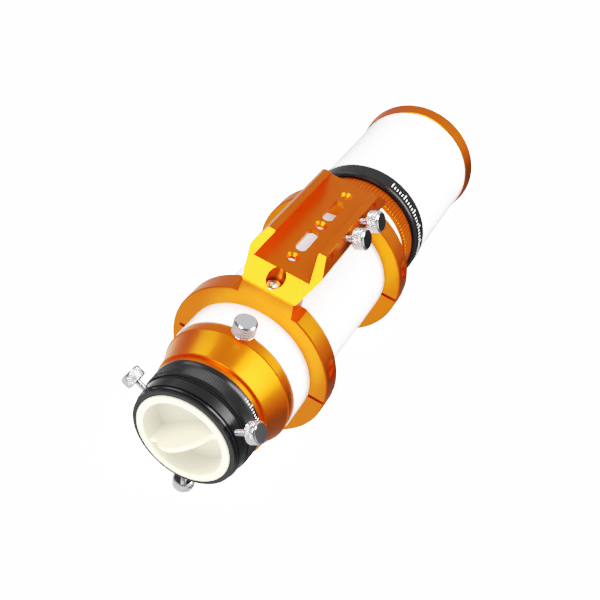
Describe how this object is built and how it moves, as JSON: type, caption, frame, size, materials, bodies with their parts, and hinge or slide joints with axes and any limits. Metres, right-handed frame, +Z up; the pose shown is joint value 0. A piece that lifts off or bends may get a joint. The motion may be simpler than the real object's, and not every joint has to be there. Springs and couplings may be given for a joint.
{
  "type": "refractor telescope tube with rings and saddle handle",
  "caption": "Short refracting telescope tube in split rings under a dovetail saddle handle, with a sliding dew shield, turning focus ring, pull-out drawtube and rear dust plug.",
  "frame": {"origin": "centre of the two base holes, on the plane of the flats under the two tube rings", "axes": "+Y along the optical axis towards the sky, +Z up through the saddle handle, +X to the right when looking along +Y"},
  "size_m": [0.0966, 0.3313, 0.1317],
  "materials": {
    "gold": "satin gold-orange anodised, fine bead-blast grain",
    "white_paint": "gloss white powder coat",
    "black_anodised": "semi-gloss black anodised",
    "black_matt": "matt black, anti-reflection",
    "chrome": "bright plated, diamond knurl on the rim",
    "bolt_steel": "nickel plated steel",
    "brass": "plain brass",
    "felt": "short black felt",
    "glass": "multi-coated optical glass",
    "ivory_plastic": "satin off-white moulded plastic"
  },
  "bodies": {
    "mount": {"ring_rear": "gold", "ring_front": "gold", "ring_pad_rear": "felt", "ring_pad_front": "felt", "clamp_screw_rear": "bolt_steel", "clamp_screw_front": "bolt_steel", "saddle": "gold", "saddle_bolt_rear": "bolt_steel", "saddle_bolt_front": "bolt_steel"},
    "tube": {"main_tube": "white_paint", "tail_piece": "gold", "draw_liner": "felt", "baffle_rear": "black_matt", "baffle_front": "black_matt", "tube_nose": "black_anodised"},
    "lock_knob": {"lock_screw": "chrome"},
    "draw": {"drawtube": "black_matt", "draw_collar": "black_anodised", "draw_baffle": "black_matt"},
    "back": {"visual_back": "black_anodised", "clamp_band": "brass"},
    "back_knob_left": {"back_screw_left": "chrome"},
    "back_knob_right": {"back_screw_right": "chrome"},
    "back_knob_low": {"back_screw_low": "chrome"},
    "plug": {"rear_plug": "ivory_plastic"},
    "focus_ring": {"focus_ring": "gold"},
    "cell": {"lens_cell": "black_anodised", "lens_front": "glass", "lens_rear": "glass", "lens_spacer": "black_matt", "lens_retainer": "black_anodised", "cell_felt": "felt"},
    "dew_shield": {"dew_tube": "white_paint", "dew_collar": "black_anodised", "dew_ring": "gold"},
    "side_knob_rear": {"side_screw_rear": "chrome"},
    "side_knob_front": {"side_screw_front": "chrome"}
  },
  "joints": [
    {"name": "tube_balance", "type": "slide", "parent": "mount", "child": "tube", "axis": [0, 1, 0], "range_m": [-0.004, 0.012]},
    {"name": "drawtube_pull", "type": "slide", "parent": "tube", "child": "draw", "axis": [0, -1, 0], "range_m": [0, 0.07]},
    {"name": "drawtube_lock", "type": "hinge", "parent": "tube", "child": "lock_knob", "pos_m": [0, -0.07835, 0.096], "axis": [0, 0, 1], "range_deg": [-90, 720]},
    {"name": "back_turn", "type": "hinge", "parent": "draw", "child": "back", "pos_m": [0, -0.1156, 0.051], "axis": [0, 1, 0], "continuous": true},
    {"name": "back_screw_left_turn", "type": "hinge", "parent": "back", "child": "back_knob_left", "pos_m": [-0.03197, -0.119, 0.06524], "axis": [-0.9135, 0, 0.4067], "range_deg": [-90, 720]},
    {"name": "back_screw_right_turn", "type": "hinge", "parent": "back", "child": "back_knob_right", "pos_m": [0.02758, -0.119, 0.07255], "axis": [0.788, 0, 0.6157], "range_deg": [-90, 720]},
    {"name": "back_screw_low_turn", "type": "hinge", "parent": "back", "child": "back_knob_low", "pos_m": [0.00366, -0.119, 0.01619], "axis": [0.1045, 0, -0.9945], "range_deg": [-90, 720]},
    {"name": "plug_pull", "type": "slide", "parent": "back", "child": "plug", "axis": [0, -1, 0], "range_m": [0, 0.03]},
    {"name": "focus_turn", "type": "hinge", "parent": "tube", "child": "focus_ring", "pos_m": [0, 0.0824, 0.051], "axis": [0, 1, 0], "range_deg": [0, 270]},
    {"name": "cell_travel", "type": "slide", "parent": "tube", "child": "cell", "axis": [0, 1, 0], "range_m": [0, 0.006]},
    {"name": "dew_shield_slide", "type": "slide", "parent": "cell", "child": "dew_shield", "axis": [0, -1, 0], "range_m": [0, 0.027]},
    {"name": "side_screw_rear_turn", "type": "hinge", "parent": "mount", "child": "side_knob_rear", "pos_m": [0.01866, -0.0096, 0.1209], "axis": [0.8725, 0, 0.4886], "range_deg": [-720, 720]},
    {"name": "side_screw_front_turn", "type": "hinge", "parent": "mount", "child": "side_knob_front", "pos_m": [0.01866, 0.0096, 0.1209], "axis": [0.8725, 0, 0.4886], "range_deg": [-720, 720]}
  ],
  "couplings": [
    {"joint": "cell_travel", "follows": "focus_turn", "m_per_rad": 0.0012732}
  ]
}
